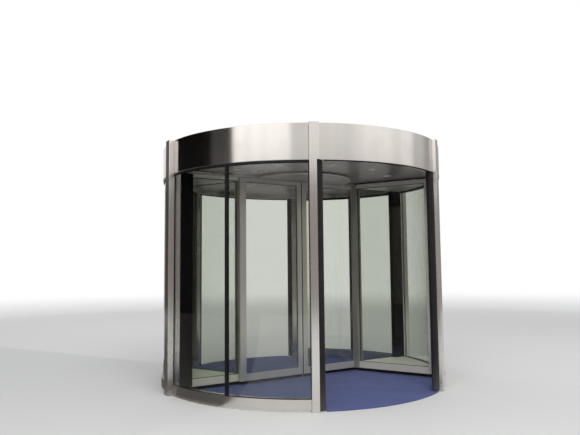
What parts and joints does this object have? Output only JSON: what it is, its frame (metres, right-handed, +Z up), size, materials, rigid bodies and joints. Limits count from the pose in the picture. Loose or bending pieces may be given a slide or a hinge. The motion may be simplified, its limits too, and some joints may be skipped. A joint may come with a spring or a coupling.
{
  "type": "revolving door",
  "caption": "Round two-wing automatic revolving door with triangular showcases, centre sliding leaves, curved glass side walls and a brushed steel canopy.",
  "frame": {"origin": "on the floor at the drum's vertical axis", "axes": "+Z up along the rotor axis; +X along the building facade; the street side is towards -Y"},
  "size_m": [3.72, 3.5996, 2.93],
  "materials": {
    "stainless": "fine vertical brushed stainless sheet",
    "rotor_frame": "brushed stainless frame profiles",
    "black_rubber": "matt black rubber profile",
    "black_trim": "satin black powder coat",
    "side_glass": "clear curved laminated glass",
    "rotor_glass": "clear glass",
    "ceiling_grey": "dark grey panel with a soft mirror sheen",
    "hub_grey": "satin grey sheet metal",
    "light_trim": "satin aluminium lamp can",
    "lamp_glass": "frosted lamp glass",
    "structure": "grey primed steel",
    "bearing_iron": "machined ring",
    "roof_sheet": "plain grey dust cover",
    "mat_fabric": "short blue carpet pile",
    "brush_black": "black bristle strip",
    "board_beige": "painted board, light beige",
    "roller_steel": "zinc plated hanger with rollers"
  },
  "bodies": {
    "drum": {"canopy_frame": "structure", "canopy_roof": "roof_sheet", "ceiling": "ceiling_grey", "downlight_lenses": "lamp_glass", "downlights": "light_trim", "facade_posts": "stainless", "fascia_front": "stainless", "fascia_left": "stainless", "fascia_rear": "stainless", "fascia_right": "stainless", "floor_mat": "mat_fabric", "head_rails": "black_trim", "mullions": "black_trim", "plinth_left": "stainless", "plinth_right": "stainless", "portal_post_front_left": "stainless", "portal_post_front_right": "stainless", "portal_post_rear_left": "stainless", "portal_post_rear_right": "stainless", "rotor_bearing": "bearing_iron", "safety_strips": "black_rubber", "side_glass_left": "side_glass", "side_glass_right": "side_glass"},
    "rotor": {"branch_stiles": "rotor_frame", "case_glass_left": "rotor_glass", "case_glass_right": "rotor_glass", "display_boards": "board_beige", "jamb_posts": "rotor_frame", "nose_rubbers": "black_rubber", "rotor_hub": "hub_grey", "track_rails": "rotor_frame", "wing_base_left": "rotor_frame", "wing_base_right": "rotor_frame", "wing_brushes": "brush_black", "wing_top_left": "rotor_frame", "wing_top_right": "rotor_frame"},
    "left_leaf": {"leaf_frame_left": "rotor_frame", "leaf_glass_left": "rotor_glass", "leaf_hangers_left": "roller_steel", "leaf_seals_left": "brush_black"},
    "right_leaf": {"leaf_frame_right": "rotor_frame", "leaf_glass_right": "rotor_glass", "leaf_hangers_right": "roller_steel", "leaf_seals_right": "brush_black"}
  },
  "joints": [
    {"name": "rotor_spin", "type": "hinge", "parent": "drum", "child": "rotor", "pos_m": [0, 0, 0], "axis": [0, 0, 1], "continuous": true},
    {"name": "left_leaf_slide", "type": "slide", "parent": "rotor", "child": "left_leaf", "axis": [-1, 0, 0], "range_m": [0, 0.78]},
    {"name": "right_leaf_slide", "type": "slide", "parent": "rotor", "child": "right_leaf", "axis": [1, 0, 0], "range_m": [0, 0.78]}
  ],
  "couplings": [
    {"joint": "right_leaf_slide", "follows": "left_leaf_slide", "ratio": 1}
  ]
}
